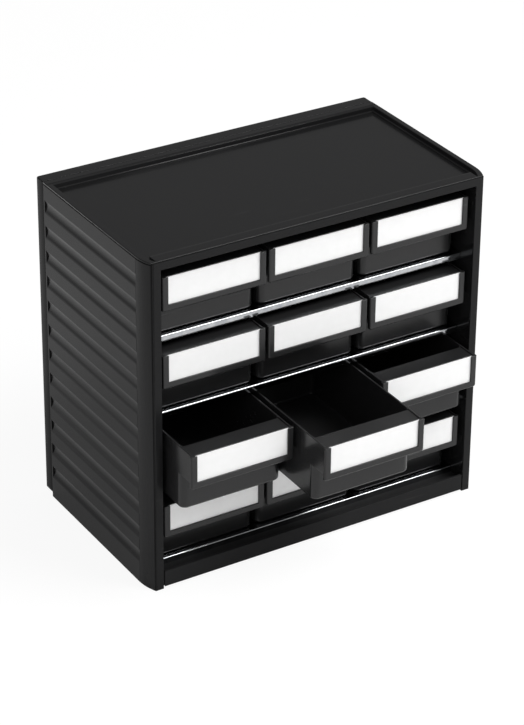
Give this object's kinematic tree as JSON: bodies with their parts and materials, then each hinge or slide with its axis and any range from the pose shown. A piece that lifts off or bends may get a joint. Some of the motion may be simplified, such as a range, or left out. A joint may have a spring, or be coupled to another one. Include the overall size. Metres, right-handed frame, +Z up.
{
  "type": "storage cabinet",
  "caption": "Bench cabinet for small parts: a moulded housing with a stacking tray on top, steel shelves and pull-out drawers with finger hoods and label cards.",
  "frame": {"origin": "on the floor, under the middle of the whole object with its drawers as they stand in the picture", "axes": "+X to the right across the front, +Y towards the back, +Z up; the drawers pull out along -Y"},
  "size_m": [0.31, 0.2592, 0.29],
  "materials": {
    "housing_plastic": "satin moulded black",
    "drawer_plastic": "glossy moulded black",
    "zinc_plate": "bright zinc plating on rolled sheet",
    "label_card": "plain white card"
  },
  "bodies": {
    "cabinet": {"left_side_panel": "housing_plastic", "right_side_panel": "housing_plastic", "top_panel": "housing_plastic", "back_panel": "housing_plastic", "base_panel": "housing_plastic", "front_frame": "housing_plastic", "shelf_1": "zinc_plate", "shelf_2": "zinc_plate", "shelf_3": "zinc_plate", "shelf_4": "zinc_plate"},
    "drawer_1_left": {"drawer_1_left": "drawer_plastic", "label_1_left": "label_card"},
    "drawer_1_middle": {"drawer_1_middle": "drawer_plastic", "label_1_middle": "label_card"},
    "drawer_1_right": {"drawer_1_right": "drawer_plastic", "label_1_right": "label_card"},
    "drawer_2_left": {"drawer_2_left": "drawer_plastic", "label_2_left": "label_card"},
    "drawer_2_middle": {"drawer_2_middle": "drawer_plastic", "label_2_middle": "label_card"},
    "drawer_2_right": {"drawer_2_right": "drawer_plastic", "label_2_right": "label_card"},
    "drawer_3_left": {"drawer_3_left": "drawer_plastic", "label_3_left": "label_card"},
    "drawer_3_middle": {"drawer_3_middle": "drawer_plastic", "label_3_middle": "label_card"},
    "drawer_3_right": {"drawer_3_right": "drawer_plastic", "label_3_right": "label_card"},
    "drawer_4_left": {"drawer_4_left": "drawer_plastic", "label_4_left": "label_card"},
    "drawer_4_middle": {"drawer_4_middle": "drawer_plastic", "label_4_middle": "label_card"},
    "drawer_4_right": {"drawer_4_right": "drawer_plastic", "label_4_right": "label_card"}
  },
  "joints": [
    {"name": "drawer_1_left_slide", "type": "slide", "parent": "cabinet", "child": "drawer_1_left", "axis": [0, -1, 0], "range_m": [0, 0.115]},
    {"name": "drawer_1_middle_slide", "type": "slide", "parent": "cabinet", "child": "drawer_1_middle", "axis": [0, -1, 0], "range_m": [0, 0.115]},
    {"name": "drawer_1_right_slide", "type": "slide", "parent": "cabinet", "child": "drawer_1_right", "axis": [0, -1, 0], "range_m": [0, 0.115]},
    {"name": "drawer_2_left_slide", "type": "slide", "parent": "cabinet", "child": "drawer_2_left", "axis": [0, -1, 0], "range_m": [0, 0.115]},
    {"name": "drawer_2_middle_slide", "type": "slide", "parent": "cabinet", "child": "drawer_2_middle", "axis": [0, -1, 0], "range_m": [0, 0.115]},
    {"name": "drawer_2_right_slide", "type": "slide", "parent": "cabinet", "child": "drawer_2_right", "axis": [0, -1, 0], "range_m": [0, 0.115]},
    {"name": "drawer_3_left_slide", "type": "slide", "parent": "cabinet", "child": "drawer_3_left", "axis": [0, -1, 0], "range_m": [-0.0426, 0.0724]},
    {"name": "drawer_3_middle_slide", "type": "slide", "parent": "cabinet", "child": "drawer_3_middle", "axis": [0, -1, 0], "range_m": [-0.0837, 0.0313]},
    {"name": "drawer_3_right_slide", "type": "slide", "parent": "cabinet", "child": "drawer_3_right", "axis": [0, -1, 0], "range_m": [-0.021, 0.094]},
    {"name": "drawer_4_left_slide", "type": "slide", "parent": "cabinet", "child": "drawer_4_left", "axis": [0, -1, 0], "range_m": [0, 0.115]},
    {"name": "drawer_4_middle_slide", "type": "slide", "parent": "cabinet", "child": "drawer_4_middle", "axis": [0, -1, 0], "range_m": [0, 0.115]},
    {"name": "drawer_4_right_slide", "type": "slide", "parent": "cabinet", "child": "drawer_4_right", "axis": [0, -1, 0], "range_m": [0, 0.115]}
  ]
}
